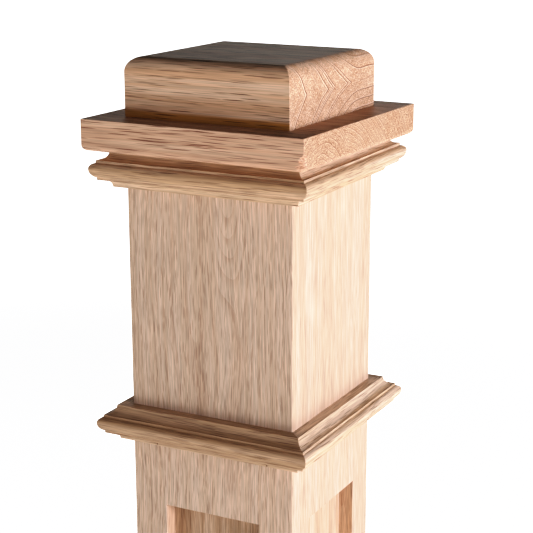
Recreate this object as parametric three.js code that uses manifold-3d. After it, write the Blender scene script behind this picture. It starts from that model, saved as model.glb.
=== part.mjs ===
// A square box newel post of raw oak, for a stair balustrade.
//
// Four long boards, mitred at the corners, make a hollow square shaft. Below the middle moulding
// each board has a tall opening with a thin panel behind it. Two bands of the same mitred moulding
// go round the shaft, a wide square plate lies on top of it, and a block with rounded top edges
// crowns the plate. Plain skirt boards go round the foot.
//
// Millimetres, +Z up. The origin is at the centre of the underside. The front faces -Y.

import * as THREE from 'three';
import { ConvexGeometry } from 'three/addons/geometries/ConvexGeometry.js';
import { mergeVertices } from 'three/addons/utils/BufferGeometryUtils.js';
import Module from 'manifold-3d';

const wasm = await Module();
wasm.setup();

// Driving dimensions: the whole post
const POST_HEIGHT = 1397;
const SHAFT_WIDTH = 158.75;
const BOARD_THICKNESS = 19;

// Driving dimensions: the cap
const BLOCK_WIDTH = 158.5;
const BLOCK_HEIGHT = 50.75;
const BLOCK_ROUNDING = 12.5;
const PLATE_WIDTH = 212.75;
const PLATE_THICKNESS = 27.5;
const PLATE_ROUNDING = 5;
// The cap was glued on a little askew: it is turned this far about +Z from the shaft.
const CAP_TURN_DEG = -1.48;

// Driving dimensions: the torn corner of the plate, at its front right bottom corner
const CHIP_ALONG_FRONT = 7.5;
const CHIP_ALONG_SIDE = 3.5;
const CHIP_UP = 13;

// Driving dimensions: the moulding, as reach from the shaft and height above its underside
const MOULDING_HEIGHT = 31.75;
const TOP_FLAT_REACH = 10.25;
const COVE_RADIUS = 8;
const FILLET_REACH = 19;
const NOSE_HEIGHT = 16.75;
const NOSE_TOP_RADIUS = 4.75;
const NOSE_BOTTOM_RADIUS = 8.75;
const NOSE_STEP_REACH = 18.5;
const NOSE_STEP_HEIGHT = 6.75;
const SMALL_COVE_REACH = 13.25;
const SMALL_COVE_RADIUS = 4.25;
const FOOT_REACH = 8.75;
const FOOT_HEIGHT = 1.25;
const ARC_STEPS = 7;

// Driving dimensions: places down the shaft, measured from the top of the plate
const MIDDLE_MOULDING_DROP = 256.25;
const OPENING_DROP = 347.75;

// Driving dimensions: the openings and their panels
const STILE_WIDTH = 32.75;
const RECESS_DEPTH = 14;
const REBATE_WIDTH = 8;
const PANEL_CLEARANCE = 0.5;

// Driving dimensions: the skirt boards at the foot
const SKIRT_HEIGHT = 140;
const SKIRT_THICKNESS = 19;
const SKIRT_ROUNDING = 4;

// Heights that follow from them
const half = SHAFT_WIDTH / 2;
const plateTop = POST_HEIGHT - BLOCK_HEIGHT;
const shaftTop = plateTop - PLATE_THICKNESS;
const upperMouldingFoot = shaftTop - MOULDING_HEIGHT;
const middleMouldingFoot = plateTop - MIDDLE_MOULDING_DROP - MOULDING_HEIGHT;
const openingTop = plateTop - OPENING_DROP;
const railHeight = middleMouldingFoot - openingTop;
const openingFoot = SKIRT_HEIGHT + railHeight;
const openingWidth = SHAFT_WIDTH - 2 * STILE_WIDTH;
const openingHeight = openingTop - openingFoot;

// The four sides, each a quarter turn on from the one before
const SIDES = ['front', 'right', 'back', 'left'];

const post = new THREE.Group();

function oak(color, roughness) {
  return new THREE.MeshStandardMaterial({ color, roughness, metalness: 0 });
}

const blockOak = oak('#c7a27a', 0.8);
const plateOak = oak('#cbb09a', 0.8);
const mouldingOak = oak('#c4a27c', 0.75);
const shaftOak = oak('#d2b192', 0.8);
const panelOak = oak('#a9855f', 0.85);
const skirtOak = oak('#c9a988', 0.8);

// A copy of the geometry with its shared corners merged
function welded(geometry) {
  const bare = geometry.clone();
  bare.deleteAttribute('normal');
  bare.deleteAttribute('uv');
  return mergeVertices(bare);
}

function toSolid(geometry) {
  const bare = welded(geometry);
  return new wasm.Manifold(new wasm.Mesh({
    numProp: 3,
    vertProperties: new Float32Array(bare.attributes.position.array),
    triVerts: new Uint32Array(bare.index.array),
  }));
}

function toGeometry(solid) {
  const mesh = solid.getMesh();
  const geometry = new THREE.BufferGeometry();
  geometry.setAttribute('position', new THREE.BufferAttribute(new Float32Array(mesh.vertProperties), 3));
  geometry.setIndex(new THREE.BufferAttribute(new Uint32Array(mesh.triVerts), 1));
  geometry.computeVertexNormals();
  return geometry;
}

function cut(geometry, ...cutters) {
  let solid = toSolid(geometry);
  for (const cutter of cutters) {
    solid = solid.subtract(toSolid(cutter));
  }
  return toGeometry(solid);
}

// A box from its lowest to its highest corner
function boxBetween(low, high) {
  const box = new THREE.BoxGeometry(high[0] - low[0], high[1] - low[1], high[2] - low[2]);
  return box.translate((low[0] + high[0]) / 2, (low[1] + high[1]) / 2, (low[2] + high[2]) / 2);
}

// A square solid whose outline goes up by [half width, height] pairs: a lathe with four facets
function squareTurned(outline) {
  const cornerReach = Math.SQRT2;
  const points = outline.map(([reach, height]) => new THREE.Vector2(reach * cornerReach, height));
  points.unshift(new THREE.Vector2(0, outline[0][1]));
  points.push(new THREE.Vector2(0, outline[outline.length - 1][1]));
  const lathe = new THREE.LatheGeometry(points, 4);
  lathe.rotateX(Math.PI / 2);
  lathe.rotateZ(Math.PI / 4);
  return welded(lathe);
}

// A length with this section on the front side of the shaft, mitred at both of its ends.
// The section's x is the reach out from the shaft's face, and its y is the height.
function mitredLength(section) {
  const length = new THREE.ExtrudeGeometry(section, { depth: 1, bevelEnabled: false, curveSegments: ARC_STEPS });
  const spots = length.attributes.position;
  for (let i = 0; i < spots.count; i++) {
    const out = half + spots.getX(i);
    const along = 2 * spots.getZ(i) - 1;
    spots.setXYZ(i, -along * out, -out, spots.getY(i));
  }
  length.deleteAttribute('normal');
  length.deleteAttribute('uv');
  const closed = mergeVertices(length);
  closed.computeVertexNormals();
  return closed;
}

function rectangle(x0, y0, x1, y1) {
  return new THREE.Shape([
    new THREE.Vector2(x0, y0),
    new THREE.Vector2(x1, y0),
    new THREE.Vector2(x1, y1),
    new THREE.Vector2(x0, y1),
  ]);
}

// Add one copy of a piece to each side of the post
function onEachSide(name, geometry, material, height) {
  SIDES.forEach((side, quarter) => {
    const mesh = new THREE.Mesh(geometry, material);
    mesh.name = `${name}_${side}`;
    mesh.rotation.z = quarter * Math.PI / 2;
    mesh.position.z = height;
    post.add(mesh);
  });
}

// Shaft boards: the front one, with its opening and the rebate behind the opening
function shaftBoard() {
  const board = mitredLength(rectangle(-BOARD_THICKNESS, 0, 0, shaftTop));
  const x = openingWidth / 2;
  const opening = boxBetween([-x, -half - 5, openingFoot], [x, 0, openingTop]);
  const rebate = boxBetween(
    [-x - REBATE_WIDTH, -half + RECESS_DEPTH, openingFoot - REBATE_WIDTH],
    [x + REBATE_WIDTH, 0, openingTop + REBATE_WIDTH],
  );
  return cut(board, opening, rebate);
}
onEachSide('shaft_board', shaftBoard(), shaftOak, 0);

// Panels: each lies in the rebate, flush with the inside of its board
function panel() {
  const x = openingWidth / 2 + REBATE_WIDTH - PANEL_CLEARANCE;
  const z = openingHeight / 2 + REBATE_WIDTH - PANEL_CLEARANCE;
  return boxBetween([-x, -half + RECESS_DEPTH, -z], [x, -half + BOARD_THICKNESS, z]);
}
onEachSide('panel', panel(), panelOak, (openingFoot + openingTop) / 2);

// Moulding: a cove over a rounded nose, with a small cove and a fillet under it
function mouldingSection() {
  const quarter = Math.PI / 2;
  const noseTopX = FILLET_REACH;
  const noseBottomX = FILLET_REACH + NOSE_TOP_RADIUS - NOSE_BOTTOM_RADIUS;
  const noseEnd = -Math.acos((NOSE_STEP_REACH - noseBottomX) / NOSE_BOTTOM_RADIUS);
  const coveX = TOP_FLAT_REACH + COVE_RADIUS;
  const coveFoot = MOULDING_HEIGHT - COVE_RADIUS;
  const section = new THREE.Shape();
  section.moveTo(0, 0);
  section.lineTo(FOOT_REACH, 0);
  section.lineTo(FOOT_REACH, FOOT_HEIGHT);
  section.lineTo(SMALL_COVE_REACH - SMALL_COVE_RADIUS, FOOT_HEIGHT);
  section.absarc(SMALL_COVE_REACH, FOOT_HEIGHT, SMALL_COVE_RADIUS, Math.PI, quarter, true);
  section.lineTo(SMALL_COVE_REACH, NOSE_STEP_HEIGHT);
  section.lineTo(NOSE_STEP_REACH, NOSE_STEP_HEIGHT);
  section.absarc(noseBottomX, NOSE_HEIGHT, NOSE_BOTTOM_RADIUS, noseEnd, 0, false);
  section.absarc(noseTopX, NOSE_HEIGHT, NOSE_TOP_RADIUS, 0, quarter, false);
  section.lineTo(FILLET_REACH, coveFoot);
  section.lineTo(coveX, coveFoot);
  section.absarc(coveX, MOULDING_HEIGHT, COVE_RADIUS, -quarter, -Math.PI, true);
  section.lineTo(0, MOULDING_HEIGHT);
  section.closePath();
  return section;
}
const mouldingLength = mitredLength(mouldingSection());
onEachSide('upper_moulding', mouldingLength, mouldingOak, upperMouldingFoot);
onEachSide('middle_moulding', mouldingLength, mouldingOak, middleMouldingFoot);

// Skirt boards: plain, with the top outer edge rounded
function skirtSection() {
  const section = new THREE.Shape();
  section.moveTo(0, 0);
  section.lineTo(SKIRT_THICKNESS, 0);
  section.absarc(
    SKIRT_THICKNESS - SKIRT_ROUNDING, SKIRT_HEIGHT - SKIRT_ROUNDING, SKIRT_ROUNDING, 0, Math.PI / 2, false,
  );
  section.lineTo(0, SKIRT_HEIGHT);
  section.closePath();
  return section;
}
onEachSide('skirt_board', mitredLength(skirtSection()), skirtOak, 0);

// The cap: the plate and the block, both turned a little from the shaft
const cap = new THREE.Group();
cap.rotation.z = THREE.MathUtils.degToRad(CAP_TURN_DEG);
post.add(cap);

// Plate: the top edges are sharp and the bottom edges rounded
function plateOutline() {
  const outline = [];
  for (let i = 0; i <= ARC_STEPS; i++) {
    const angle = (i / ARC_STEPS) * Math.PI / 2;
    const reach = PLATE_WIDTH / 2 - PLATE_ROUNDING * (1 - Math.sin(angle));
    outline.push([reach, PLATE_ROUNDING * (1 - Math.cos(angle))]);
  }
  outline.push([PLATE_WIDTH / 2, PLATE_THICKNESS]);
  return outline;
}

// The wedge that tore away from the plate's corner: one flat break, and a tip outside the plate
function cornerChip() {
  const reach = PLATE_WIDTH / 2;
  const corner = new THREE.Vector3(reach, -reach, 0);
  const breakPoints = [
    new THREE.Vector3(reach - CHIP_ALONG_FRONT, -reach, 0),
    new THREE.Vector3(reach, -reach + CHIP_ALONG_SIDE, 0),
    new THREE.Vector3(reach, -reach, CHIP_UP),
  ];
  const middle = new THREE.Vector3();
  breakPoints.forEach((point) => middle.addScaledVector(point, 1 / 3));
  const wedge = breakPoints.map((point) => point.clone().sub(middle).multiplyScalar(2).add(middle));
  wedge.push(corner.clone().sub(middle).multiplyScalar(6).add(middle));
  return new ConvexGeometry(wedge);
}
const plate = new THREE.Mesh(cut(squareTurned(plateOutline()), cornerChip()), plateOak);
plate.name = 'cap_plate';
plate.position.z = shaftTop;
cap.add(plate);

// Block: crisp upright edges and a wide rounding round the top
function blockOutline() {
  const outline = [[BLOCK_WIDTH / 2, 0]];
  for (let i = 0; i <= ARC_STEPS; i++) {
    const angle = (i / ARC_STEPS) * Math.PI / 2;
    const reach = BLOCK_WIDTH / 2 - BLOCK_ROUNDING * (1 - Math.cos(angle));
    outline.push([reach, BLOCK_HEIGHT - BLOCK_ROUNDING * (1 - Math.sin(angle))]);
  }
  return outline;
}
const block = new THREE.Mesh(squareTurned(blockOutline()), blockOak);
block.name = 'cap_block';
block.position.z = plateTop;
cap.add(block);

export default post;
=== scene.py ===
# %% [markdown]
# # A square box newel post of raw oak
#
# The post is joiner's work: four long boards mitred into a hollow square shaft, two bands of moulding,
# a wide cap plate and a block with rounded top edges. This lesson starts from the bare solids of those
# pieces and gives each one its fine shape and its wood. Lengths are in millimetres until a mesh is
# finished, because that is how a joiner would measure it.

# %% The frame and the modules
import math
from collections import namedtuple

import bmesh
import bpy
from mathutils import Matrix, Vector, noise


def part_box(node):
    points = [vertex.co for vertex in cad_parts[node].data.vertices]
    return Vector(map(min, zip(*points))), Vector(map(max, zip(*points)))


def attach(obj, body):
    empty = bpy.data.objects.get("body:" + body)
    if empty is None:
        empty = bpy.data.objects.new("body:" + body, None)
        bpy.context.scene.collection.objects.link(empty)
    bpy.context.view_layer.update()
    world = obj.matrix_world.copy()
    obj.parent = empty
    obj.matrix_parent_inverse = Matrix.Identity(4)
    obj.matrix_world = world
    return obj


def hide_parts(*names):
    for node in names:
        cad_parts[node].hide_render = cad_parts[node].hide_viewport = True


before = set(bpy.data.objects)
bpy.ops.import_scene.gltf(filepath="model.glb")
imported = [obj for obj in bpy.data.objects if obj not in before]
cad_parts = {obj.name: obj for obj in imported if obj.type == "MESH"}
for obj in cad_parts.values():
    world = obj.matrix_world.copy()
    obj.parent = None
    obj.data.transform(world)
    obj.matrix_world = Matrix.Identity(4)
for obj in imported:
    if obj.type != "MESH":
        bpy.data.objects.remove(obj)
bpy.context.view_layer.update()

MM = 0.001

# %% [markdown]
# ## Sizes
#
# Each solid's box says how large its piece is and where it stands, so most sizes are read from there.
# Only what a box can't show is named here: the opening's clearances, widths of edges and roundings.

# %% Sizes read from the solids
def node_box(name):
    """A solid's lowest and highest corner, in millimetres."""
    low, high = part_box(name)
    return low / MM, high / MM


board_low, board_high = node_box("shaft_board_front")
panel_low, panel_high = node_box("panel_front")
skirt_low, skirt_high = node_box("skirt_board_front")
block_low, block_high = node_box("cap_block")
plate_low, plate_high = node_box("cap_plate")
HALF = -board_low.y
BOARD = board_high.y + HALF
SHAFT_TOP = board_high.z
RECESS = panel_low.y + HALF
SIDES = ("front", "right", "back", "left")
print("shaft", 2 * HALF, "mm wide, boards", round(BOARD, 2), "mm thick, recess", round(RECESS, 2))

# %% Sizes that the boxes can't show
REBATE = 8
PANEL_CLEARANCE = 0.5
OPENING_HALF = panel_high.x - REBATE + PANEL_CLEARANCE
OPENING_FOOT = panel_low.z + REBATE - PANEL_CLEARANCE
OPENING_TOP = panel_high.z - REBATE + PANEL_CLEARANCE
BLOCK_HALF = 79.25
BLOCK_ROUNDING = 12.5
PLATE_HALF = 106.375
PLATE_ROUNDING = 5
CAP_TURN = math.radians(-1.48)
EASE_CORNER = 1.2
EASE_OPENING = 0.7
EASE_CAP = 0.5
print("opening", round(2 * OPENING_HALF, 2), "mm wide,", round(OPENING_TOP - OPENING_FOOT, 1), "mm tall")

# %% [markdown]
# ## The camera
#
# It stands a little to the right of the post and above it, and looks down on it. It is near, so the
# upright edges draw together towards the floor.

# %% Camera
CAMERA_PLACE = (0.60085, -1.12501, 1.54083)
CAMERA_AZIMUTH = math.radians(27.5685)
CAMERA_PITCH = math.radians(-14.6926)
CAMERA_ROLL = math.radians(-0.1525)
CAMERA_LENS = 99.795

lens = bpy.data.cameras.new("camera")
lens.lens = CAMERA_LENS
lens.clip_end = 100
camera = bpy.data.objects.new("camera", lens)
camera.matrix_world = (
    Matrix.Translation(CAMERA_PLACE)
    @ Matrix.Rotation(CAMERA_AZIMUTH, 4, "Z")
    @ Matrix.Rotation(math.radians(90) + CAMERA_PITCH, 4, "X")
    @ Matrix.Rotation(CAMERA_ROLL, 4, "Z")
)
bpy.context.scene.collection.objects.link(camera)
bpy.context.scene.camera = camera
print("camera at", CAMERA_PLACE)

# %% [markdown]
# ## The tone curve
#
# The photograph has the tones of a studio print: deep shadows with strong colour, and bright sides
# that ease into white. Blender's Standard view shows light as it is, so a curve like a printer's goes
# before it, a little darker at the foot and bent over at the top. Each pair below is a light in the
# scene and what the print makes of it.

# %% Tone curve
BRIGHTEST = 2.2
TONES = (
    (0.03, 0.012), (0.1, 0.062), (0.2, 0.165), (0.35, 0.335),
    (0.55, 0.555), (0.8, 0.82), (1.05, 0.965),
)
ALL_CHANNELS = 3

toning = bpy.context.scene.view_settings
toning.view_transform = "Standard"
toning.use_curve_mapping = True
toning.curve_mapping.white_level = (BRIGHTEST, BRIGHTEST, BRIGHTEST)
for light, shown in TONES:
    toning.curve_mapping.curves[ALL_CHANNELS].points.new(light / BRIGHTEST, shown)
toning.curve_mapping.update()
print("tone curve points:", len(toning.curve_mapping.curves[ALL_CHANNELS].points))

# %% [markdown]
# ## Nodes and colours
#
# Colours are picked as sRGB hex values, the way a paint chart gives them, and a shader wants linear
# light. One function does that sum, with the sRGB standard's own numbers. Another adds a node, sets it
# and links it, so that a material reads as a list of steps.

# %% Two helpers for materials
SMOOTH = {"interpolation_type": "SMOOTHSTEP"}


def linear(code):
    """The linear colour of an sRGB hex value such as c8a47e."""
    parts = [int(code[i : i + 2], 16) / 255 for i in (0, 2, 4)]
    light = [p / 12.92 if p <= 0.04045 else ((p + 0.055) / 1.055) ** 2.4 for p in parts]
    return (*light, 1.0)


def add(tree, kind, inputs=(), **settings):
    """Adds one node. Inputs are values, nodes or their outputs: a list in order, or a dict by name."""
    node = tree.nodes.new("ShaderNode" + kind)
    for name, value in settings.items():
        setattr(node, name, value)
    named = isinstance(inputs, dict)
    sockets = node.inputs if named else [socket for socket in node.inputs if socket.enabled]
    for key, value in inputs.items() if named else enumerate(inputs):
        if isinstance(value, bpy.types.Node):
            value = next(output for output in value.outputs if output.enabled)
        if isinstance(value, bpy.types.NodeSocket):
            tree.links.new(value, sockets[key])
        else:
            sockets[key].default_value = value
    return node


print("white is", linear("ffffff"))

# %% [markdown]
# ## Oak, as a solid pattern
#
# Raw oak, planed or moulded and left without a finish: it has no shine, and its pores stay open. An
# image wrapped round a board would show the same figure on two faces that meet. Real figure is what a
# cut shows of the tree inside, so each piece carries the place of every corner in its own tree, in
# millimetres: x across, y deep and z along the trunk, measured from the pith. The pattern is worked
# out there in 3D, and one sawn edge then agrees with the next by itself.
#
# The first step bends the places a little, because fibres wander on their way up the trunk: slowly
# over a hand's width, and in small ripples over a finger's.

# %% Wandering fibres
SLOW_SWAY = (45, 45, 170)
SMALL_SWAY = (16, 16, 45)


def size(across, deep, along):
    """What a place in millimetres is multiplied by, so that a pattern comes out this large."""
    return (1 / across, 1 / deep, 1 / along)


def wandered(tree, place, look):
    """The place, moved sideways by two noises: a slow one and a small one."""
    for reach, large in ((look["wander"], SLOW_SWAY), (look["ripple"], SMALL_SWAY)):
        spot = add(tree, "VectorMath", [place, size(*large)], operation="MULTIPLY")
        sway = add(tree, "TexNoise", {"Vector": spot, "Scale": 1.0, "Detail": 1.0})
        shift = [sway.outputs["Color"], (2 * reach, 2 * reach, 0), (-reach, -reach, 0)]
        moved = add(tree, "VectorMath", shift, operation="MULTIPLY_ADD")
        place = add(tree, "VectorMath", [place, moved])
    return place


print("fibres sway every", SLOW_SWAY[2], "and every", SMALL_SWAY[2], "mm along the trunk")

# %% [markdown]
# ### Growth rings
#
# Rings are counted by the distance from the pith. Early wood, the porous part that grows in spring,
# starts each ring. A little noise makes the rings uneven.

# %% Round rings
RING_UNEVEN = 1.6
RING_UNEVEN_SIZE = (25, 25, 300)


def round_rings(spacing):
    """Rings as circles round the pith, this many millimetres apart."""
    def rings(tree, log):
        flat = add(tree, "VectorMath", [log, (1, 1, 0)], operation="MULTIPLY")
        reach = add(tree, "VectorMath", [flat], operation="LENGTH").outputs["Value"]
        spot = add(tree, "VectorMath", [log, size(*RING_UNEVEN_SIZE)], operation="MULTIPLY")
        uneven = add(tree, "TexNoise", {"Vector": spot, "Scale": 1.0, "Detail": 1.0})
        count = add(tree, "Math", [reach, spacing], operation="DIVIDE")
        return add(tree, "Math", [uneven, RING_UNEVEN, count], operation="MULTIPLY_ADD")
    return rings


print("rings stray by up to", RING_UNEVEN, "of their spacing")

# %% [markdown]
# The front of the shaft shows nested arches, one above the other. A flat cut makes them wherever the
# rings draw in on their way up the trunk. So the ring count falls by a few rings over the arches'
# height, most of all along their middle. The place is given in the log that the front board's right
# stave was cut from: the stave starts 14055 mm up that log, and the arches 1180 mm up the stave.

# %% Arched rings
ARCH_MIDDLE = -2.0
ARCH_HALF_WIDTH = 34.0
ARCH_FOOT = 14055.0 + 1180.0
ARCH_HEIGHT = 120.0
ARCH_RINGS = 5.0


def arched_rings(spacing):
    """Round rings that draw in at one place up the trunk, which a flat cut shows as nested arches."""
    plain = round_rings(spacing)

    def rings(tree, log):
        split = add(tree, "SeparateXYZ", [log])
        off = add(tree, "Math", [split.outputs["X"], ARCH_MIDDLE], operation="SUBTRACT")
        off = add(tree, "Math", [off], operation="ABSOLUTE")
        near = add(tree, "MapRange", [off, 0.0, ARCH_HALF_WIDTH, 1.0, 0.0], **SMOOTH)
        up = [split.outputs["Z"], ARCH_FOOT, ARCH_FOOT + ARCH_HEIGHT, 0.0, -ARCH_RINGS]
        drawn = add(tree, "MapRange", up, **SMOOTH)
        return add(tree, "Math", [near, drawn, plain(tree, log)], operation="MULTIPLY_ADD")
    return rings


print("arches:", 2 * ARCH_HALF_WIDTH, "mm wide,", ARCH_HEIGHT, "mm tall")

# %% [markdown]
# The right side of the block is end grain, and its rings don't run in circles: they kink at half height
# and point to the right, then flatten out near the back. They get a formula of their own. With u from
# front to back and w as the distance from half height, a ring keeps u + k(u) w the same, and k grows
# from front to back. Above half height the rings lean a little less than below.

# %% Kinked rings
BLOCK_AXIS_HEIGHT = 26.0
BLOCK_RING = 9.3
BLOCK_UNEVEN = 0.5
BLOCK_UNEVEN_SIZE = (22, 22, 200)
LEAN_ABOVE = 0.78
KINK_ROUNDING = 1.5
LEAN_REACH = 130.0
LEAN_FRONT = 0.85
LEAN_BACK = 2.5
FLAT_FROM = 118.0
FLAT_ROUNDING = 24.0


def kinked_rings(tree, log):
    """Rings that point to the right, for the block's end grain. x is u, and y the height."""
    split = add(tree, "SeparateXYZ", [log])
    below = add(tree, "Math", [BLOCK_AXIS_HEIGHT, split.outputs["Y"]], operation="SUBTRACT")
    above = add(tree, "Math", [below, -LEAN_ABOVE], operation="MULTIPLY")
    apart = add(tree, "Math", [below, above, KINK_ROUNDING], operation="SMOOTH_MAX")
    leaning = [split.outputs["X"], 0.0, LEAN_REACH, LEAN_FRONT, LEAN_BACK]
    slope = add(tree, "MapRange", leaning, **SMOOTH)
    near = add(tree, "Math", [split.outputs["X"], FLAT_FROM, FLAT_ROUNDING], operation="SMOOTH_MIN")
    distance = add(tree, "Math", [apart, slope, near], operation="MULTIPLY_ADD")
    spot = add(tree, "VectorMath", [log, size(*BLOCK_UNEVEN_SIZE)], operation="MULTIPLY")
    uneven = add(tree, "TexNoise", {"Vector": spot, "Scale": 1.0, "Detail": 2.0})
    count = add(tree, "Math", [distance, BLOCK_RING], operation="DIVIDE")
    return add(tree, "Math", [uneven, BLOCK_UNEVEN, count], operation="MULTIPLY_ADD")


print("the block's rings:", BLOCK_RING, "mm apart")

# %% [markdown]
# ### Pores
#
# Oak's pores are tubes along the trunk, made of short vessels, so a planed face shows them as dashes
# and an end cut as dots. A Voronoi pattern stretched along the trunk gives both: what lies close to a
# cell's middle is a slender spindle. Real pores are about 0.3 mm wide, which is finer than one dot of
# the picture, so they are drawn near 0.8 mm wide here.

# %% Pores
PORE_EDGE = 0.16
FAINTEST_PORE = 0.3


def pore_depth(tree, log, early, look):
    """How deep a pore shows, from 0 to 1. Pores are wider in early wood."""
    wide, long = look["pore"]
    spot = add(tree, "VectorMath", [log, size(wide, wide, long)], operation="MULTIPLY")
    vessel = add(tree, "TexVoronoi", {"Vector": spot, "Scale": 1.0})
    reach = add(tree, "Math", [early, look["crowding"], look["pore_reach"]], operation="MULTIPLY_ADD")
    inside = add(tree, "Math", [reach, vessel.outputs["Distance"]], operation="SUBTRACT")
    opened = add(tree, "MapRange", [inside, 0.0, PORE_EDGE, 0.0, 1.0], **SMOOTH)
    own = add(tree, "SeparateColor", [vessel.outputs["Color"]])
    depth = add(tree, "MapRange", [own, 0.0, 1.0, FAINTEST_PORE, 1.0])
    return add(tree, "Math", [opened, depth], operation="MULTIPLY")


print("a pore's edge takes", PORE_EDGE, "of a cell")

# %% [markdown]
# ### Colour along the grain
#
# A planed face goes from pale to tan in slow bands, a little deeper in the early wood, and the pores
# lie over it in a dull purple brown. Most of a noise's values lie close to its middle, so those are
# spread to run from nothing to all.

# %% Colour of a planed face
NOISE_MIDDLE = (0.36, 0.64)
BAND_SIZE = (7, 7, 260)


def planed_colour(tree, log, early, pores, look):
    """The colour of a face cut along the grain."""
    spot = add(tree, "VectorMath", [log, size(*BAND_SIZE)], operation="MULTIPLY")
    band = add(tree, "TexNoise", {"Vector": spot, "Scale": 1.0, "Detail": 2.0})
    share = add(tree, "MapRange", [band, *NOISE_MIDDLE, 0.0, 1.0], **SMOOTH)
    colour = add(tree, "Mix", [share, linear(look["pale"]), linear(look["tan"])], data_type="RGBA")
    tint = add(tree, "Math", [early, look["early_depth"]], operation="MULTIPLY")
    colour = add(tree, "Mix", [tint, colour, linear(look["early_tint"])], data_type="RGBA")
    dark = add(tree, "Math", [pores, look["pore_depth"]], operation="MULTIPLY")
    return add(tree, "Mix", [dark, colour, linear(look["pore_tint"])], data_type="RGBA")


print("tan bands are about", BAND_SIZE[0], "mm wide")

# %% [markdown]
# ### Colour of an end cut
#
# Across the grain the wood drinks in light and looks redder. Cut fibres make it gritty, with pores as
# dots. Real fibres are far too fine to show, so the grit is drawn 0.8 mm coarse. The rings show as thin
# lines, a brown one with a cream one beside it, and some years show far more than others. A few years
# of the block stand out so much that they are marked one by one. For those, each pair of numbers says
# where, in shares of a ring, a line comes up and where it fades.

# %% Colour of an end cut
PATCH_SIZE = (14, 14, 120)
GRIT_SIZE = (0.8, 0.8, 60)
LIGHT_GRIT = (0.52, 0.66)
DARK_GRIT = (0.46, 0.34)
FAINTEST_YEAR = 0.2
BROWN_FADE = 1.5
MARKED_CREAM = ((-0.2, -0.04), (-0.04, 0.03))
MARKED_BROWN = ((-0.02, 0.04), (0.1, 0.24))


def end_colour(tree, log, rings, ring, look):
    """The colour of a face cut across the grain."""
    spot = add(tree, "VectorMath", [log, size(*PATCH_SIZE)], operation="MULTIPLY")
    patch = add(tree, "TexNoise", {"Vector": spot, "Scale": 1.0, "Detail": 2.0})
    share = add(tree, "MapRange", [patch, *NOISE_MIDDLE, 0.0, 1.0], **SMOOTH)
    ends = [share, linear(look["end_pale"]), linear(look["end_tan"])]
    colour = add(tree, "Mix", ends, data_type="RGBA")
    spot = add(tree, "VectorMath", [log, size(*GRIT_SIZE)], operation="MULTIPLY")
    grit = add(tree, "TexNoise", {"Vector": spot, "Scale": 1.0, "Detail": 1.0})
    light = add(tree, "MapRange", [grit, *LIGHT_GRIT, 0.0, look["end_grit"]], **SMOOTH)
    colour = add(tree, "Mix", [light, colour, linear(look["end_light"])], data_type="RGBA")
    dark = add(tree, "MapRange", [grit, *DARK_GRIT, 0.0, look["end_dots"]], **SMOOTH)
    colour = add(tree, "Mix", [dark, colour, linear(look["end_dark"])], data_type="RGBA")

    whole = add(tree, "Math", [rings], operation="ROUND")
    year = add(tree, "TexWhiteNoise", [whole], noise_dimensions="1D")
    strongest = look["end_lines"]
    strength = add(tree, "MapRange", [year, 0.0, 1.0, FAINTEST_YEAR * strongest, strongest])
    wide = look["line"]
    brown = add(tree, "MapRange", [ring, 0.0, BROWN_FADE * wide, 1.0, 0.0], **SMOOTH)
    cream = add(tree, "MapRange", [ring, 1 - wide, 1.0, 0.0, 1.0], **SMOOTH)
    brown = add(tree, "Math", [brown, strength], operation="MULTIPLY")
    cream = add(tree, "Math", [cream, strength], operation="MULTIPLY")
    for count in look.get("marked", ()):
        off = add(tree, "Math", [rings, count], operation="SUBTRACT")
        lines = []
        for comes_up, fades in (MARKED_CREAM, MARKED_BROWN):
            below = add(tree, "MapRange", [off, *comes_up, 0.0, 1.0], **SMOOTH)
            above = add(tree, "MapRange", [off, *fades, 1.0, 0.0], **SMOOTH)
            lines.append(add(tree, "Math", [below, above], operation="MULTIPLY"))
        cream = add(tree, "Math", [cream, lines[0]], operation="MAXIMUM")
        brown = add(tree, "Math", [brown, lines[1]], operation="MAXIMUM")
    colour = add(tree, "Mix", [cream, colour, linear(look["end_light"])], data_type="RGBA")
    return add(tree, "Mix", [brown, colour, linear(look["end_dark"])], data_type="RGBA")


print("grit of an end cut:", GRIT_SIZE[0], "mm")

# %% [markdown]
# ### Tone and painted shade
#
# Fine streaks of fibre lie over the colour of every face, and each stave is a little lighter or warmer
# than its neighbour. Real fibres are finer than a dot of the picture, so the streaks are drawn near
# 1 mm wide. The block also gets painted shade along its foot, where it meets the plate. It is deepest
# next to the plate, thins out upwards and isn't on the end cuts.

# %% Tone and painted shade
FIBRE_MIDDLE = (0.3, 0.7)
SHADE_FULL = 0.7
SHADE_GONE = 1.3


def toned(tree, colour, fibre, stave, look):
    """The colour with fine streaks of fibre over it, in the stave's own tone."""
    streak = look["streak"]
    fine = add(tree, "MapRange", [fibre, *FIBRE_MIDDLE, 1 - streak, 1 + streak])
    tone = add(tree, "Math", [fine, stave.outputs["X"]], operation="MULTIPLY")
    colour = add(tree, "VectorMath", [colour, tone], operation="SCALE")
    warm = add(tree, "VectorMath", [colour, linear(look["warm"])[:3]], operation="MULTIPLY")
    return add(tree, "Mix", [stave.outputs["Y"], colour, warm], data_type="RGBA")


def painted_foot_shade(tree, colour, log, end, foot_shade):
    """The colour with painted shade along the foot, next to the plate, given by how high it reaches and
    its colour.
    """
    reach, tint = foot_shade
    height = add(tree, "SeparateXYZ", [log]).outputs["Y"]
    # painted shade: the colour is darkened and warmed towards the foot, where the plate shades the block
    low = add(tree, "MapRange", [height, SHADE_FULL * reach, SHADE_GONE * reach, 1.0, 0.0], **SMOOTH)
    along = add(tree, "Math", [1.0, end], operation="SUBTRACT")
    low = add(tree, "Math", [low, along], operation="MULTIPLY")
    deep = add(tree, "VectorMath", [colour, linear(tint)[:3]], operation="MULTIPLY")
    return add(tree, "Mix", [low, colour, deep], data_type="RGBA")


print("a stain starts to thin out at", SHADE_FULL, "of its reach")

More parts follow.
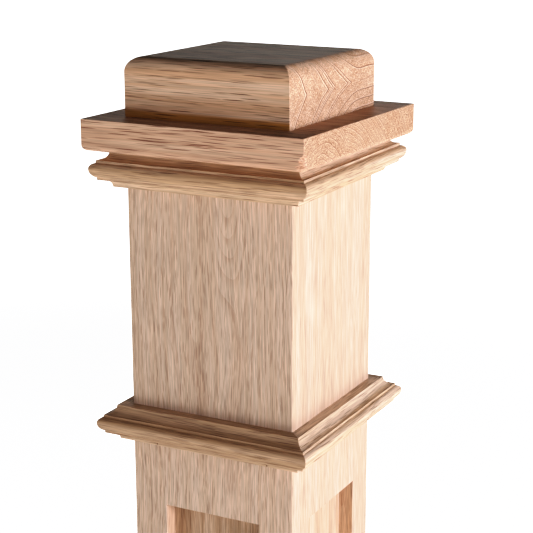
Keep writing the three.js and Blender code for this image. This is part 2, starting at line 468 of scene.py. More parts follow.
# %% [markdown]
# ### The whole material
#
# Raw wood has an index of refraction near 1.5, but its sawn fibres scatter most of the light, so it is
# rough and its gloss is weak. The pores are hollow and a little rougher still.

# %% Oak
OAK_IOR = 1.48
OAK_GLOSS = 0.5
PORE_DEPTH = 0.0004
PORE_RELIEF = 0.7
PORE_ROUGHNESS = 0.15
FIBRE_RELIEF = 0.35


def oak(name, look):
    """Builds an oak material. The look holds its colours and the sizes of its figure in millimetres."""
    material = bpy.data.materials.new(name)
    material.use_nodes = True
    tree = material.node_tree
    tree.nodes.clear()

    place = add(tree, "Attribute", attribute_name="grain").outputs["Vector"]
    stave = add(tree, "Attribute", attribute_name="stave").outputs["Vector"]
    stave = add(tree, "SeparateXYZ", [stave])
    end = add(tree, "Attribute", attribute_name="end").outputs["Fac"]
    log = wandered(tree, place, look)
    rings = look["rings"](tree, log)
    ring = add(tree, "Math", [rings], operation="FRACT")
    early = add(tree, "MapRange", [ring, 0.0, look["early"], 1.0, 0.0], **SMOOTH)
    pores = pore_depth(tree, log, early, look)
    quiet = add(tree, "Math", [pores, stave.outputs["Z"]], operation="MULTIPLY")
    long_cut = planed_colour(tree, log, early, quiet, look)
    end_cut = end_colour(tree, log, rings, ring, look)
    colour = add(tree, "Mix", [end, long_cut, end_cut], data_type="RGBA")

    wide, long = look["fibre"]
    spot = add(tree, "VectorMath", [log, size(wide, wide, long)], operation="MULTIPLY")
    fibre = add(tree, "TexNoise", {"Vector": spot, "Scale": 1.0, "Detail": 1.0})
    colour = toned(tree, colour, fibre, stave, look)
    # painted shade along the block's foot, next to the plate
    if "foot" in look:
        colour = painted_foot_shade(tree, colour, log, end, look["foot"])

    height = add(tree, "Math", [fibre, FIBRE_RELIEF], operation="MULTIPLY")
    height = add(tree, "Math", [quiet, -PORE_RELIEF, height], operation="MULTIPLY_ADD")
    bump = add(tree, "Bump", {"Strength": look["bump"], "Distance": PORE_DEPTH, "Height": height})
    smoothest = look["roughness"]
    rough = add(tree, "MapRange", [quiet, 0.0, 1.0, smoothest, smoothest + PORE_ROUGHNESS])
    shader = {
        "Base Color": colour,
        "Roughness": rough,
        "IOR": OAK_IOR,
        "Specular IOR Level": OAK_GLOSS,
        "Normal": bump,
    }
    add(tree, "OutputMaterial", [add(tree, "BsdfPrincipled", shader)])
    return material


print("pores are", PORE_DEPTH / MM, "mm deep")

# %% [markdown]
# ### Six looks
#
# All are the same oak, sawn from different boards: the shaft is pale and even, the mouldings are more
# golden and streaky, and the block and the plate are the reddest, with long dark pores. Each look
# starts from one base and changes what differs.
#
# "wander" and "ripple" are how far fibres sway, "pore" and "fibre" are a width and a length, "line" is
# the width of a year's line on an end cut in shares of a ring, and "foot" is how high the painted shade
# along the block's foot reaches and its colour. The others are strengths from 0 to 1 and colours.

# %% The base and the pale looks
YEAR = 3.2
BASE = {
    "rings": round_rings(YEAR), "wander": 3.0, "ripple": 0.6,
    "early": 0.55, "early_depth": 0.12, "crowding": 0.05,
    "pore": (0.72, 20.0), "pore_reach": 0.5, "pore_depth": 0.62, "fibre": (1.1, 34.0), "streak": 0.19,
    "pale": "d0b59d", "tan": "c8ab91", "early_tint": "b69379", "pore_tint": "8c6650", "warm": "ffe2c0",
    "end_pale": "bb8f70", "end_tan": "b08463", "end_light": "dcb899", "end_dark": "8a5236",
    "end_grit": 0.5, "end_dots": 0.5, "end_lines": 0.5, "line": 0.14,
    "bump": 0.3, "roughness": 0.62,
}
shaft_oak = oak("planed_oak_shaft", {
    **BASE,
    "rings": arched_rings(YEAR), "wander": 5.0, "ripple": 0.4, "early_depth": 0.38, "crowding": 0.12,
    "pore": (1.0, 16.0), "pore_reach": 0.4, "fibre": (0.85, 30.0), "streak": 0.22,
})
panel_oak = oak("planed_oak_panel", {
    **BASE,
    "pale": "c8ae96", "tan": "b6987c", "early_tint": "a38461", "pore_tint": "77583e",
})
skirt_oak = oak("planed_oak_skirt", BASE)
print("rings", YEAR, "mm apart in", shaft_oak.name, panel_oak.name, skirt_oak.name)

# %% The mouldings' look and the plate's
MOULDING_YEAR = 4.0
PLATE_YEAR = 4.4
moulding_oak = oak("moulded_oak", {
    **BASE,
    "rings": round_rings(MOULDING_YEAR), "early_depth": 0.24,
    "pore": (0.95, 28.0), "pore_reach": 0.4, "pore_depth": 0.75, "fibre": (0.95, 38.0), "streak": 0.21,
    "pale": "dcc2a8", "tan": "c8aa8a", "early_tint": "a08062", "pore_tint": "6a4a34",
})
plate_oak = oak("planed_oak_plate", {
    **BASE,
    "rings": round_rings(PLATE_YEAR), "wander": 1.6, "ripple": 0.35, "crowding": 0.06,
    "pore": (1.15, 42.0), "pore_reach": 0.37, "pore_depth": 1.0, "fibre": (0.95, 50.0), "streak": 0.2,
    "pale": "dab597", "tan": "cba183", "early_tint": "b1856a", "pore_tint": "6f402e",
    "end_pale": "b29070", "end_tan": "a98260", "end_light": "dcbc9c", "end_dark": "7a4830",
    "end_grit": 1.0, "end_dots": 1.0, "end_lines": 1.0, "line": 0.2,
})
print("rings", MOULDING_YEAR, "mm apart in", moulding_oak.name, "and", PLATE_YEAR, "in", plate_oak.name)

# %% The block's look
MARKED_RINGS = (29, 67, 76, 80, 104, 110, 138, 157, 176)
block_oak = oak("planed_oak_block", {
    **BASE,
    "rings": kinked_rings, "wander": 1.2, "ripple": 0.3, "early_depth": 0.15,
    "pore": (1.1, 40.0), "pore_reach": 0.37, "pore_depth": 1.0, "fibre": (0.95, 50.0), "streak": 0.19,
    "pale": "e6c4a6", "tan": "d9af8c", "early_tint": "c29673", "pore_tint": "5c3422",
    "end_pale": "c8a283", "end_tan": "bb9271", "end_light": "f4dcc2", "end_dark": "75401f",
    "end_grit": 0.7, "end_dots": 0.6, "end_lines": 0.6, "line": 0.13,
    # painted shade along the foot, next to the plate: how high it reaches and its colour
    "foot": (6.5, "d4b373"),
    "marked": [distance / BLOCK_RING + BLOCK_UNEVEN / 2 for distance in MARKED_RINGS],
})
print("marked rings on the block's end:", len(MARKED_RINGS))

# %% [markdown]
# ## From a shape to a piece of wood
#
# A board is glued up from narrower staves, and each stave came from its own place in its own tree. A
# stave is given by where it ends across the board, where its pith lay, and its tone. The piece's
# corners then get three attributes that the oak material reads: their place in the tree, the stave's
# tone, and how far the face is cut across the grain. Logs are kept far apart, so that no two pieces
# show the same figure.

# %% Staves
Stave = namedtuple("Stave", "until pith tone warmth figure")
EDGE_OF_ALL = 1e6
LOG_SPACING = 1500
STAVE_SHIFT = 0.37


def cut_from_log(mesh, staves, axes, seed):
    """Writes the wood attributes. The axes name which of x, y, z runs across, deep and along."""
    across, deep, along = axes
    for kind, name in (("FLOAT_VECTOR", "grain"), ("FLOAT_VECTOR", "stave"), ("FLOAT", "end")):
        mesh.attributes.new(name, kind, "CORNER")
    grain, tone, end = (mesh.attributes[name] for name in ("grain", "stave", "end"))
    for face in mesh.polygons:
        number = next(i for i, s in enumerate(staves) if face.center[across] < s.until)
        stave = staves[number]
        cross = face.normal[along] ** 2
        for corner in face.loop_indices:
            spot = mesh.vertices[mesh.loops[corner].vertex_index].co
            grain.data[corner].vector = (
                spot[across] - stave.pith[0],
                spot[deep] - stave.pith[1],
                spot[along] + LOG_SPACING * (seed + number * STAVE_SHIFT),
            )
            tone.data[corner].vector = (stave.tone, stave.warmth, stave.figure)
            end.data[corner].value = cross


def retone(mesh, faces, tone):
    """Gives some faces a tone of their own: how light, how warm and how figured."""
    stave = mesh.attributes["stave"]
    for face in faces:
        for corner in mesh.polygons[face].loop_indices:
            stave.data[corner].vector = tone


print("logs are", LOG_SPACING, "mm apart, and a board's staves", LOG_SPACING * STAVE_SHIFT)

# %% [markdown]
# ### A finished piece
#
# Pieces are modelled on the front side of the shaft and turned to their own side by quarters. Each one
# takes the place of the bare solid of its name.

# %% Finished pieces
pieces = []


def finish_piece(name, mesh, staves, axes, material, quarter=0, turn=0.0):
    """Sets a mesh up as a finished piece that stands for the solid of its name."""
    cut_from_log(mesh, staves, axes, len(pieces) + 1)
    mesh.transform(Matrix.Rotation(quarter * math.pi / 2 + turn, 4, "Z"))
    mesh.transform(Matrix.Scale(MM, 4))
    mesh.materials.append(material)
    piece = bpy.data.objects.new(name + ".wood", mesh)
    bpy.context.scene.collection.objects.link(piece)
    even = piece.modifiers.new("even_shading", "WEIGHTED_NORMAL")
    even.keep_sharp = True
    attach(piece, "root")
    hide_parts(name)
    pieces.append(piece)


print("pieces so far:", len(pieces))

# %% [markdown]
# ### Meshes
#
# Every shape is a closed skin of points and faces. Its rounded edges are shaded smooth, and the edges
# that a plane or a saw left stay sharp.

# %% Meshes
SHARP_ANGLE = math.radians(30)


def to_mesh(shape, name):
    """A bmesh as a mesh: faces pointing out, and smooth where an edge turns by less than 30 degrees."""
    bmesh.ops.recalc_face_normals(shape, faces=shape.faces)
    for face in shape.faces:
        face.smooth = True
    for edge in shape.edges:
        edge.smooth = edge.calc_face_angle(math.pi) < SHARP_ANGLE
    mesh = bpy.data.meshes.new(name)
    shape.to_mesh(mesh)
    shape.free()
    return mesh


def mesh_of(name, spots, faces):
    """A mesh from a list of places and a list of faces."""
    shape = bmesh.new()
    corners = [shape.verts.new(spot) for spot in spots]
    for face in faces:
        shape.faces.new([corners[i] for i in face])
    return to_mesh(shape, name)


def glue_line(shape, x):
    """Cuts an edge all round a board where two of its staves meet."""
    everything = [*shape.verts, *shape.edges, *shape.faces]
    bmesh.ops.bisect_plane(shape, geom=everything, plane_co=(x, 0, 0), plane_no=(1, 0, 0))


def arc(x, y, radius, start, end, steps):
    """Points along an arc, from one angle to another in degrees."""
    angles = [math.radians(start + (end - start) * i / steps) for i in range(steps + 1)]
    return [(x + radius * math.cos(a), y + radius * math.sin(a)) for a in angles]


print("an edge stays sharp from", round(math.degrees(SHARP_ANGLE)), "degrees")

# %% [markdown]
# ### Small holes
#
# Nails and pins left small round holes. They could be dark spots in the material, but real holes catch
# the light on one side. A thin bit is set across the surface at each place and cut away.

# %% Drilling
HOLE_SIDES = 16


def drilled(mesh, holes, depth):
    """The mesh with small round holes. A hole is its mouth, the way in and its radius."""
    bits = bmesh.new()
    for mouth, way, radius in holes:
        place = Matrix.Translation(mouth) @ Vector(way).to_track_quat("Z", "Y").to_matrix().to_4x4()
        bit = {"radius1": radius, "radius2": radius, "depth": 2 * depth, "segments": HOLE_SIDES}
        bmesh.ops.create_cone(bits, matrix=place, cap_ends=True, **bit)
    pair = [bpy.data.objects.new("drilling", shape) for shape in (mesh, to_mesh(bits, "bits"))]
    for thing in pair:
        bpy.context.scene.collection.objects.link(thing)
    cut = pair[0].modifiers.new("holes", "BOOLEAN")
    cut.object = pair[1]
    seen = pair[0].evaluated_get(bpy.context.evaluated_depsgraph_get())
    shape = bmesh.new()
    shape.from_mesh(seen.to_mesh())
    for thing in pair:
        bpy.data.objects.remove(thing)
    return to_mesh(shape, mesh.name)


print("a hole has", HOLE_SIDES, "sides")

# %% [markdown]
# ## The moulding
#
# The moulding is machined as one long strip, then sawn into eight lengths with a 45 degree mitre at
# each end. So the mesh is made the same way: one profile, carried along the side of the shaft, and each
# end slides out as far as the profile reaches. The profile is a cove over a rounded nose, a small
# fillet between them, and a small cove under the nose. Arcs take a point every few degrees.

# %% The moulding's profile
MOULDING_HEIGHT = 31.75
TOP_FLAT_REACH = 10.25
COVE_RADIUS = 8
FILLET_REACH = 19
NOSE_HEIGHT = 16.75
NOSE_TOP_RADIUS = 4.75
NOSE_BOTTOM_RADIUS = 8.75
NOSE_STEP_REACH = 18.5
NOSE_STEP_HEIGHT = 6.75
SMALL_COVE_REACH = 13.25
SMALL_COVE_RADIUS = 4.25
FOOT_REACH = 8.75
FOOT_HEIGHT = 1.25
ARC_STEPS = 18


def moulding_section():
    """The profile, as (reach from the shaft, height), anticlockwise."""
    nose_bottom = FILLET_REACH + NOSE_TOP_RADIUS - NOSE_BOTTOM_RADIUS
    nose_start = -math.degrees(math.acos((NOSE_STEP_REACH - nose_bottom) / NOSE_BOTTOM_RADIUS))
    cove_x = TOP_FLAT_REACH + COVE_RADIUS
    section = [(0, 0), (FOOT_REACH, 0), (FOOT_REACH, FOOT_HEIGHT)]
    section += arc(SMALL_COVE_REACH, FOOT_HEIGHT, SMALL_COVE_RADIUS, 180, 90, ARC_STEPS // 2)
    section += [(SMALL_COVE_REACH, NOSE_STEP_HEIGHT), (NOSE_STEP_REACH, NOSE_STEP_HEIGHT)]
    section += arc(nose_bottom, NOSE_HEIGHT, NOSE_BOTTOM_RADIUS, nose_start, 0, ARC_STEPS)
    section += arc(FILLET_REACH, NOSE_HEIGHT, NOSE_TOP_RADIUS, 0, 90, ARC_STEPS)[1:]
    section += [(FILLET_REACH, MOULDING_HEIGHT - COVE_RADIUS)]
    section += arc(cove_x, MOULDING_HEIGHT, COVE_RADIUS, 270, 180, ARC_STEPS)
    section += [(0, MOULDING_HEIGHT)]
    return section


def mitred_length(name, section, foot):
    """A length along the front side, mitred at both ends."""
    spots = []
    for side in (-1, 1):
        spots += [(side * (HALF + out), -HALF - out, foot + up) for out, up in section]
    count = len(section)
    faces = [(i, (i + 1) % count, count + (i + 1) % count, count + i) for i in range(count)]
    faces += [tuple(range(count)), tuple(range(2 * count - 1, count - 1, -1))]
    return mesh_of(name, spots, faces)


print("moulding profile points:", len(moulding_section()))

# %% [markdown]
# Each length has its own tone, given as how light and how golden it is, from the front round to the
# left. The front lengths are darker and warmer than the right ones: that gap is painted shade on the
# front and painted light on the right. The two front lengths also get painted light from below along
# the foot, in the small cove and below it. The middle one was nailed on, and two small holes show
# along its lower edge.

# %% Eight lengths of moulding
# each length's tone, how light and how golden; the front lengths' darker, warmer tones are painted shade
# and the right lengths' paler ones painted light
MOULDING_TONES_AND_SHADE = {
    "upper_moulding": ((0.785, 0.5), (0.86, 0.08), (0.9, 0.3), (0.94, 0.4)),
    "middle_moulding": ((0.675, 0.6), (0.96, 0.0), (0.85, 0.4), (0.95, 0.2)),
}
PITH_BELOW = 30
PITH_DROP = 9
PITH_SHIFT = 14
# painted light from below on the front lengths' foot and small cove: how high it reaches, then its tones
UNDERSIDE_LIGHT_HEIGHT = 5.6
UNDERSIDE_LIGHT_TONES = {"upper_moulding_front": (0.98, 0.1, 1.0), "middle_moulding_front": (0.83, 0.35, 1.0)}
NAIL_DEPTH = 3
NAIL_FACE = -HALF - 9
NAIL_HOLES = [((-49.4, NAIL_FACE, 1.35), 0.75), ((59.1, NAIL_FACE, 0.85), 0.75)]

for band, tones in MOULDING_TONES_AND_SHADE.items():
    for quarter, side in enumerate(SIDES):
        name = f"{band}_{side}"
        foot = node_box(name)[0].z
        pith = (foot - PITH_BELOW - PITH_DROP * quarter, -HALF + PITH_SHIFT * quarter)
        strip = [Stave(EDGE_OF_ALL, pith, *tones[quarter], 1.0)]
        mesh = mitred_length(name, moulding_section(), foot)
        if name == "middle_moulding_front":
            lift = Vector((0, 0, foot))
            holes = [(Vector(mouth) + lift, (0, 1, 0), radius) for mouth, radius in NAIL_HOLES]
            mesh = drilled(mesh, holes, NAIL_DEPTH)
        finish_piece(name, mesh, strip, (2, 1, 0), moulding_oak, quarter)
        # paints the light from below onto the front lengths' lowest faces
        if name in UNDERSIDE_LIGHT_TONES:
            top = (foot + UNDERSIDE_LIGHT_HEIGHT) * MM
            lit_underside = [face.index for face in mesh.polygons if face.center.z < top]
            retone(mesh, lit_underside, UNDERSIDE_LIGHT_TONES[name])
print("pieces so far:", len(pieces))

# %% [markdown]
# ## The shaft boards
#
# Each board is mitred along both long edges, and the two boards that meet at a corner share one small
# eased rounding there. The opening's outer edges are eased too. The mesh is a plan outline drawn up to
# the board's full height, with the front and the back made as frames round the opening.

# %% The shape of a shaft board
EASE_STEPS = 4


def board_plan():
    """The board's outline seen from above, from the front's left end round to the back."""
    ease = EASE_CORNER
    right = [(HALF - ease + dx, -HALF + ease + dy) for dx, dy in arc(0, 0, ease, -90, -45, EASE_STEPS)]
    left = [(-x, y) for x, y in reversed(right)]
    return right + [(HALF - BOARD, -HALF + BOARD), (-HALF + BOARD, -HALF + BOARD)] + left


def opening_steps():
    """The way from the face through the opening to the back, as (distance outside the opening, depth)."""
    ease = EASE_OPENING
    eased = [(ease + x, ease + y) for x, y in arc(0, 0, ease, 270, 180, EASE_STEPS)]
    return eased + [(0, RECESS), (REBATE, RECESS), (REBATE, BOARD)]


def shaft_board(name, joint):
    """One board, with a mesh edge along the glue line between its two staves."""
    shape = bmesh.new()
    plan = board_plan()
    rows = [[shape.verts.new((x, y, z)) for x, y in plan] for z in (0, SHAFT_TOP)]
    count = len(plan)
    back = next(i for i in range(count) if math.isclose(plan[i][1], BOARD - HALF))
    front = count - 1
    for i in range(count):
        if i not in (back, front):
            following = (i + 1) % count
            shape.faces.new([rows[0][i], rows[0][following], rows[1][following], rows[1][i]])
    shape.faces.new(rows[0][::-1])
    shape.faces.new(rows[1])
    loops = []
    for wider, deep in opening_steps():
        x, y = OPENING_HALF + wider, -HALF + deep
        low, high = OPENING_FOOT - wider, OPENING_TOP + wider
        spots = ((-x, y, low), (x, y, low), (x, y, high), (-x, y, high))
        loops.append([shape.verts.new(spot) for spot in spots])
    face = [rows[0][front], rows[0][0], rows[1][0], rows[1][front]]
    inside = [rows[0][back + 1], rows[0][back], rows[1][back], rows[1][back + 1]]
    chain = [face, *loops, inside]
    for outer, inner in zip(chain, chain[1:]):
        for i in range(4):
            shape.faces.new([outer[i], outer[(i + 1) % 4], inner[(i + 1) % 4], inner[i]])
    glue_line(shape, joint)
    return to_mesh(shape, name)


print("board plan points:", len(board_plan()))

# %% [markdown]
# Every board has two staves. The ones on the right side were cut so that little figure shows. The inner
# walls of an opening get painted shade and the warm light bounced inside the recess: a darker, more
# golden tone than the face, different on each side.

# %% Four shaft boards
BOARD_STAVES = {
    "front": [Stave(-1.7, (-18, -34), 0.975, 0.0, 1.0), Stave(EDGE_OF_ALL, (20, -26), 0.985, 0.0, 0.85)],
    "right": [Stave(-4.4, (-160, -40), 0.945, 0.0, 0.35), Stave(EDGE_OF_ALL, (170, -60), 0.97, 0.0, 0.3)],
    "back": [Stave(3.0, (-25, -50), 1.0, 0.0, 0.9), Stave(EDGE_OF_ALL, (40, -30), 0.98, 0.1, 0.8)],
    "left": [Stave(-9.0, (-60, -30), 1.01, 0.0, 0.7), Stave(EDGE_OF_ALL, (35, -44), 0.98, 0.05, 0.9)],
}
# painted shade and bounce light on each opening's inner walls: how light, how warm and how figured
REVEAL_SHADE_TONES = ((0.88, 0.25, 0.8), (0.82, 0.58, 1.0), (0.88, 0.25, 0.8), (0.86, 0.35, 0.8))


def in_reveal(face):
    """Whether a face of a board lies inside its opening, between the front edge and the panel."""
    depth = face.center.y + HALF
    return EASE_OPENING < depth < RECESS and abs(face.center.x) < HALF - BOARD


for quarter, side in enumerate(SIDES):
    name = f"shaft_board_{side}"
    staves = BOARD_STAVES[side]
    mesh = shaft_board(name, staves[0].until)
    reveal = [face.index for face in mesh.polygons if in_reveal(face)]
    finish_piece(name, mesh, staves, (0, 1, 2), shaft_oak, quarter)
    # paints the shade inside the opening onto its walls
    retone(mesh, reveal, REVEAL_SHADE_TONES[quarter])
print("faces in a reveal:", len(reveal))

# %% [markdown]
# ## The panels
#
# A thin panel lies in the rebate behind each opening, made of staves of unlike tone.

# %% Panels
PANEL_EASE = 0.4
PANEL_EASE_STEPS = 2


def panel(name, joints):
    """A thin board with a mesh edge along each glue line."""
    shape = bmesh.new()
    bmesh.ops.create_cube(shape, size=1)
    middle = (panel_low + panel_high) / 2
    whole = Matrix.LocRotScale(middle, None, panel_high - panel_low)
    bmesh.ops.transform(shape, matrix=whole, verts=shape.verts)
    ease = {"offset": PANEL_EASE, "segments": PANEL_EASE_STEPS, "clamp_overlap": True}
    bmesh.ops.bevel(shape, geom=shape.edges[:], affect="EDGES", **ease)
    for joint in joints:
        glue_line(shape, joint)
    return to_mesh(shape, name)


PANEL_STAVES = {
    "front": [
        Stave(-29.5, (-60, -30), 0.77, 0.5, 0.9),
        Stave(-0.7, (-10, -40), 1.0, 0.25, 0.8),
        Stave(EDGE_OF_ALL, (30, -30), 0.98, 0.35, 0.9),
    ],
    "right": [Stave(24.6, (-160, -40), 1.1, 0.0, 0.35), Stave(EDGE_OF_ALL, (60, -30), 1.1, 0.0, 0.5)],
    "back": [Stave(-8.0, (-60, -30), 0.95, 0.1, 0.8), Stave(EDGE_OF_ALL, (30, -40), 1.0, 0.0, 0.8)],
    "left": [Stave(12.0, (-30, -30), 1.0, 0.0, 0.9), Stave(EDGE_OF_ALL, (60, -40), 0.9, 0.1, 0.8)],
}
for quarter, side in enumerate(SIDES):
    name = f"panel_{side}"
    staves = PANEL_STAVES[side]
    mesh = panel(name, [s.until for s in staves[:-1]])
    finish_piece(name, mesh, staves, (0, 1, 2), panel_oak, quarter)
print("panel:", [round(v, 1) for v in panel_high - panel_low], "mm")

# %% [markdown]
# ## The skirt
#
# Plain mitred boards go round the foot, with a small rounding along the top. They are made as the
# moulding is, from a profile of their own.

# %% Skirt boards
SKIRT_ROUNDING = 4
SKIRT_ROUNDING_STEPS = 8
SKIRT_PITH = (60, 30)
SKIRT_PITH_STEP = 20
skirt_reach = -skirt_low.y - HALF


def skirt_section():
    """The skirt's profile, as (reach from the shaft, height)."""
    x = skirt_reach - SKIRT_ROUNDING
    y = skirt_high.z - SKIRT_ROUNDING
    edge = arc(x, y, SKIRT_ROUNDING, 0, 90, SKIRT_ROUNDING_STEPS)
    return [(0, 0), (skirt_reach, 0), *edge, (0, skirt_high.z)]


for quarter, side in enumerate(SIDES):
    name = f"skirt_board_{side}"
    pith = (SKIRT_PITH[0] + SKIRT_PITH_STEP * quarter, -HALF + SKIRT_PITH[1])
    strip = [Stave(EDGE_OF_ALL, pith, 1.0, 0.0, 0.9)]
    mesh = mitred_length(name, skirt_section(), 0)
    finish_piece(name, mesh, strip, (2, 1, 0), skirt_oak, quarter)
print("skirt:", skirt_reach, "mm thick,", skirt_high.z, "mm high")

# %% [markdown]
# ## The cap
#
# The plate and the block are square, and both sit a little askew on the shaft, as if turned by hand
# before the glue set. Each is made of square loops, one above the other, that follow an upright
# outline.

# %% Square loops
CAP_EASE_STEPS = 3
EVEN = [-1, -0.5, 0, 0.5, 1]


def square_loop(half, ease, stations):
    """A square seen from above, from the front left corner, with points at each side's stations."""
    loop = []
    for side in range(4):
        turn = Matrix.Rotation(side * math.pi / 2, 2)
        points = [Vector((t * (half - ease), -half)) for t in stations[side]]
        corner = arc(half - ease, -half + ease, ease, -90, 0, CAP_EASE_STEPS)[1:-1]
        loop += [turn @ point for point in points + [Vector(c) for c in corner]]
    return loop


def square_mesh(name, outline, ease, stations, shift=None):
    """A square solid whose outline goes up by (half width, height) pairs, closed below and above."""
    spots = []
    for half, height in outline:
        loop = [Vector((p.x, p.y, height)) for p in square_loop(half, ease, stations)]
        spots += [shift(p) if shift else p for p in loop]
    count = len(spots) // len(outline)
    faces = []
    for row in range(len(outline) - 1):
        for i in range(count):
            a, b = row * count + i, row * count + (i + 1) % count
            faces.append((a, b, b + count, a + count))
    faces += [tuple(range(count - 1, -1, -1)), tuple(range(len(spots) - count, len(spots)))]
    return mesh_of(name, spots, faces)


print("points in an even loop:", len(square_loop(BLOCK_HALF, EASE_CAP, [EVEN] * 4)))

# %% [markdown]
# ### The block
#
# It is one stave, with crisp upright sides and a wide rounding round the top. Its grain runs from left
# to right, so its right side is the end cut with the kinked rings.

# %% Block
BLOCK_ROUNDING_STEPS = 24


def block_outline():
    """Crisp upright sides and a wide rounding round the top."""
    x = BLOCK_HALF - BLOCK_ROUNDING
    y = block_high.z - BLOCK_ROUNDING
    return [(BLOCK_HALF, block_low.z), *arc(x, y, BLOCK_ROUNDING, 0, 90, BLOCK_ROUNDING_STEPS)]


block_stave = [Stave(EDGE_OF_ALL, (-BLOCK_HALF, block_low.z), 0.96, 0.1, 1.0)]
block_mesh = square_mesh("cap_block", block_outline(), EASE_CAP, [EVEN] * 4)
finish_piece("cap_block", block_mesh, block_stave, (1, 2, 0), block_oak, 0, CAP_TURN)
print("block faces:", len(block_mesh.polygons))

# %% [markdown]
# ### The plate
#
# Its front right bottom corner has torn away along the grain: there the fibres broke at uneven lengths,
# so the loops step back by an uneven amount from row to row. Thin rows and points close together near
# that corner let the break look ragged. Each of the two noises behind it is given by its strength, how
# fast it changes inward and upward, and where it starts.

# %% The plate's outline and its torn corner
PLATE_ROUNDING_STEPS = 10
PLATE_ROW = 0.75
PLATE_ROWS = 29
PLATE_TOP_EDGE = 0.3
TORN_LENGTH = 8.0
TORN_WIDTH = 5.0
TORN_HEIGHT = 15.0
TORN_FADE = 7.0
TORN_ZONE = 16.0
TORN_SHARE = 0.75
TORN_NOISES = ((0.9, 0.5, 0.55, 3.3), (0.35, 1.4, 1.9, 7.1))


def plate_outline():
    """Rounded bottom edges, upright sides in thin rows, and crisp top edges."""
    foot, top = plate_low.z + PLATE_ROUNDING, plate_high.z
    turned = arc(PLATE_HALF - PLATE_ROUNDING, foot, PLATE_ROUNDING, -90, 0, PLATE_ROUNDING_STEPS)
    rows = [(PLATE_HALF, foot + i * PLATE_ROW) for i in range(1, PLATE_ROWS + 1)]
    return turned + rows + [(PLATE_HALF, top - PLATE_TOP_EDGE), (PLATE_HALF - PLATE_TOP_EDGE, top)]


def torn(spot):
    """Moves a point of the plate back from the torn corner, along the grain."""
    up = spot.z - plate_low.z
    inward = spot.y + PLATE_HALF
    ragged = TORN_SHARE
    for strength, across_rate, up_rate, start in TORN_NOISES:
        ragged += strength * noise.noise(Vector((inward * across_rate, up * up_rate, start)))
    falls = min(1.0, max(0.0, (TORN_HEIGHT - up) / TORN_FADE)) * max(0.0, 1 - inward / TORN_WIDTH)
    back = TORN_LENGTH * falls * max(0.0, ragged)
    start = PLATE_HALF - TORN_ZONE
    if spot.x > start:
        spot.x -= back * (spot.x - start) / TORN_ZONE
    return spot


print("rows up the plate's side:", len(plate_outline()))

# %% [markdown]
# The plate is glued up from three staves, and its right end shows their rings. That end also has three
# pinholes, each given by its place from front to back, its height and its radius.

# %% Plate
FINE_STEP = 0.8
FINE_STEPS = 21
COARSE_STEPS = 10


def fine_to(end):
    """Stations along a side, close together near one end."""
    span = PLATE_HALF - EASE_CAP
    fine = [1 - i * FINE_STEP / span for i in range(FINE_STEPS)]
    coarse = [i / COARSE_STEPS for i in range(-COARSE_STEPS, COARSE_STEPS - 1)]
    stations = sorted({round(t, 6) for t in fine + coarse})
    return stations if end > 0 else [-t for t in reversed(stations)]


plate_stations = [fine_to(1), fine_to(-1), EVEN, EVEN]
PLATE_STAVES = [
    Stave(-30.0, (-75, plate_low.z - 22), 0.96, 0.03, 1.0),
    Stave(38.0, (-75, plate_low.z - 95), 1.0, 0.0, 1.0),
    Stave(EDGE_OF_ALL, (-75, plate_low.z - 98), 0.99, 0.05, 1.0),
]
PIN_DEPTH = 4
PIN_HOLES = [(90.1, 19.4, 0.9), (59.0, 4.6, 0.6), (-15.1, 21.6, 0.6)]
plate_mesh = square_mesh("cap_plate", plate_outline(), EASE_CAP, plate_stations, torn)
pins = [((PLATE_HALF, y, plate_low.z + up), (-1, 0, 0), radius) for y, up, radius in PIN_HOLES]
plate_mesh = drilled(plate_mesh, pins, PIN_DEPTH)
finish_piece("cap_plate", plate_mesh, PLATE_STAVES, (1, 2, 0), plate_oak, 0, CAP_TURN)
print("plate faces:", len(plate_mesh.polygons))

# %% [markdown]
# ## The floor
#
# The front of the post gets its light from the floor, a pale sheet that glows, most of all about two
# metres away, so light comes from below and shows the mouldings' undersides. It looks white to the
# camera alone, as a studio's backdrop does, which is lit apart from the object.

# %% Floor
FLOOR_RADIUS = 40.0
FLOOR_SIDES = 96
FLOOR_ROUGHNESS = 0.9
CLOSE_GLOW = 0.36
BRIGHT_GLOW = 1.55
FAR_GLOW = 0.5
SEEN_GLOW = 1.9
BRIGHTENS = (0.4, 1.9)
DIMS = (2.6, 6.0)


def floor_material():
    """A white sheet that glows, less so close to the post and far from it."""
    material = bpy.data.materials.new("white_studio_floor")
    material.use_nodes = True
    tree = material.node_tree
    tree.nodes.clear()
    spot = add(tree, "TexCoord").outputs["Object"]
    away = add(tree, "VectorMath", [spot], operation="LENGTH").outputs["Value"]
    near = add(tree, "MapRange", [away, *BRIGHTENS, CLOSE_GLOW, BRIGHT_GLOW], **SMOOTH)
    far = add(tree, "MapRange", [away, *DIMS, BRIGHT_GLOW, FAR_GLOW], **SMOOTH)
    glow = add(tree, "Math", [near, far], operation="MINIMUM")
    seen = add(tree, "LightPath").outputs["Is Camera Ray"]
    glow = add(tree, "Mix", [seen, glow, SEEN_GLOW], data_type="FLOAT")
    shader = {
        "Base Color": linear("f2f2f2"),
        "Roughness": FLOOR_ROUGHNESS,
        "Emission Color": (1, 1, 1, 1),
        "Emission Strength": glow,
    }
    add(tree, "OutputMaterial", [add(tree, "BsdfPrincipled", shader)])
    return material


floor_shape = bmesh.new()
bmesh.ops.create_circle(floor_shape, cap_ends=True, radius=FLOOR_RADIUS, segments=FLOOR_SIDES)
floor_mesh = bpy.data.meshes.new("floor")
floor_shape.to_mesh(floor_mesh)
floor_shape.free()
floor_mesh.materials.append(floor_material())
floor = bpy.data.objects.new("floor", floor_mesh)
bpy.context.scene.collection.objects.link(floor)
print("floor glows most from", BRIGHTENS[1], "to", DIMS[0], "m away")

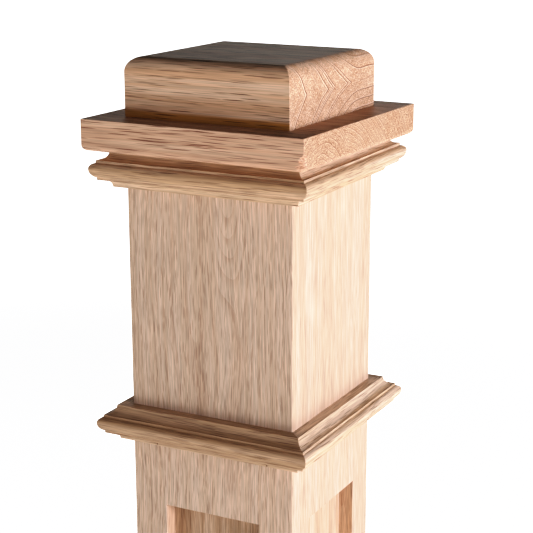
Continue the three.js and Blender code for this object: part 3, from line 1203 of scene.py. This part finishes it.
# %% [markdown]
# ## The soft boxes
#
# A small one stands close to the post, on the right and a little below its top. It makes the right
# sides bright and leaves the upward faces dark, with a quick fall from light to dark over the rounded
# edge. A wide one behind keeps the far sides from going dull.

# %% Lights
def soft_box(name, place, width, height, watts, colour):
    """A soft box that faces the post's axis, upright."""
    lamp = bpy.data.lights.new(name, "AREA")
    lamp.shape = "RECTANGLE"
    lamp.size = width
    lamp.size_y = height
    lamp.energy = watts
    lamp.color = colour
    light = bpy.data.objects.new(name, lamp)
    light.location = place
    light.rotation_euler = Vector((-place[0], -place[1], 0)).to_track_quat("-Z", "Z").to_euler()
    light.visible_camera = False
    bpy.context.scene.collection.objects.link(light)


soft_box(
    "right_box", place=(1.87, -0.557, 1.33), width=0.4, height=0.55,
    watts=49.5, colour=(0.91, 0.895, 1.0),
)
soft_box(
    "back_box", place=(-2.2, 3.8, 1.7), width=2.4, height=1.0,
    watts=42, colour=(1.0, 0.95, 0.9),
)
print("lights:", [(lamp.name, round(lamp.energy, 1)) for lamp in bpy.data.lights])

# %% [markdown]
# ## The sky
#
# A pale band lies along the horizon, and above it the sky is dim, so that the top of the block stays
# dark. Like the floor, it looks white to the camera alone.

# %% Sky
BAND_HEIGHT = 0.12
BAND_GREY = (0.6, 0.6, 0.6, 1.0)
SKY_GREY = (0.034, 0.034, 0.034, 1.0)
SEEN_WHITE = (1.9, 1.9, 1.9, 1.0)

world = bpy.data.worlds.new("studio")
bpy.context.scene.world = world
world.use_nodes = True
sky = world.node_tree
sky.nodes.clear()
direction = add(sky, "SeparateXYZ", [add(sky, "TexCoord").outputs["Generated"]])
height = add(sky, "MapRange", [direction.outputs["Z"], 0.0, BAND_HEIGHT, 0.0, 1.0], **SMOOTH)
shade = add(sky, "Mix", [height, BAND_GREY, SKY_GREY], data_type="RGBA")
seen = add(sky, "LightPath").outputs["Is Camera Ray"]
shade = add(sky, "Mix", [seen, shade, SEEN_WHITE], data_type="RGBA")
add(sky, "OutputWorld", [add(sky, "Background", [shade])])
print("sky nodes:", len(sky.nodes))

# %% Finish
print("pieces:", len(pieces))
